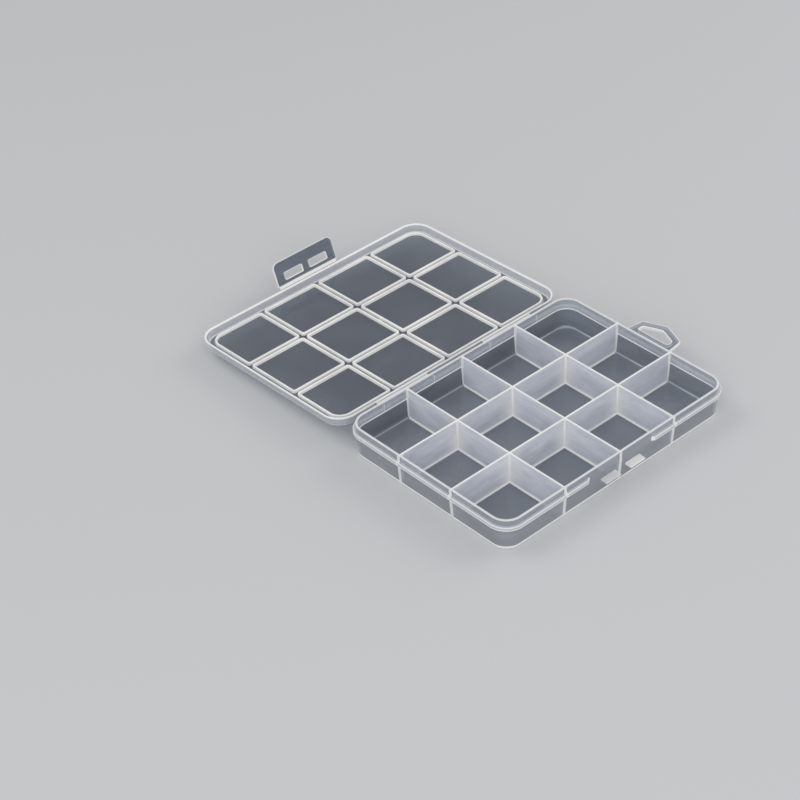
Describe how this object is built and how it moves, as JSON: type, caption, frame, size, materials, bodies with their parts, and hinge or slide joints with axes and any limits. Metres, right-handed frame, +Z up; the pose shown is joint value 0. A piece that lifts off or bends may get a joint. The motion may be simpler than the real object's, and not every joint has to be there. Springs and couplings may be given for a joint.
{
  "type": "bead organizer box",
  "caption": "Shallow translucent plastic organizer tray with a grid of equal compartments, a ribbed lid on film hinges, a slotted snap flap and a hang tab.",
  "frame": {"origin": "centre of the tray's flat base, on the table", "axes": "+X along the hinge towards the hang tab, +Y from the latch side to the hinge and the open lid, +Z up"},
  "size_m": [0.1443, 0.1981, 0.0204],
  "materials": {
    "tray_plastic": "moulded translucent polypropylene, gloss outside",
    "divider_plastic": "moulded translucent polypropylene, satin",
    "lug_plastic": "moulded translucent polypropylene, frosted",
    "lid_plastic": "moulded translucent polypropylene, gloss",
    "lid_ribs": "moulded translucent polypropylene, bright edges",
    "latch_plastic": "moulded translucent polypropylene, gloss",
    "hinge_film": "thin polypropylene film, whitened at the fold"
  },
  "bodies": {
    "tray": {"tray_shell": "tray_plastic", "divider_long_front": "divider_plastic", "divider_long_rear": "divider_plastic", "divider_cross_left": "divider_plastic", "divider_cross_middle": "divider_plastic", "divider_cross_right": "divider_plastic", "catch_lug_left": "lug_plastic", "catch_lug_right": "lug_plastic", "hang_tab": "tray_plastic", "film_left_tray_leaf": "hinge_film", "film_right_tray_leaf": "hinge_film"},
    "lid": {"lid_shell": "lid_plastic", "rib_frame_front_1": "lid_ribs", "rib_frame_front_2": "lid_ribs", "rib_frame_front_3": "lid_ribs", "rib_frame_front_4": "lid_ribs", "rib_frame_middle_1": "lid_ribs", "rib_frame_middle_2": "lid_ribs", "rib_frame_middle_3": "lid_ribs", "rib_frame_middle_4": "lid_ribs", "rib_frame_rear_1": "lid_ribs", "rib_frame_rear_2": "lid_ribs", "rib_frame_rear_3": "lid_ribs", "rib_frame_rear_4": "lid_ribs", "film_left_lid_leaf": "hinge_film", "film_right_lid_leaf": "hinge_film", "latch_film_lid_leaf": "hinge_film"},
    "latch": {"latch_flap": "latch_plastic", "latch_film_flap_leaf": "hinge_film"}
  },
  "joints": [
    {"name": "lid_hinge", "type": "hinge", "parent": "tray", "child": "lid", "pos_m": [0, 0.04835, 0.01245], "axis": [1, 0, 0], "range_deg": [0, 182]},
    {"name": "latch_hinge", "type": "hinge", "parent": "lid", "child": "latch", "pos_m": [0, 0.14389, 0.00911], "axis": [1, 0, 0], "range_deg": [-71, 19]}
  ]
}
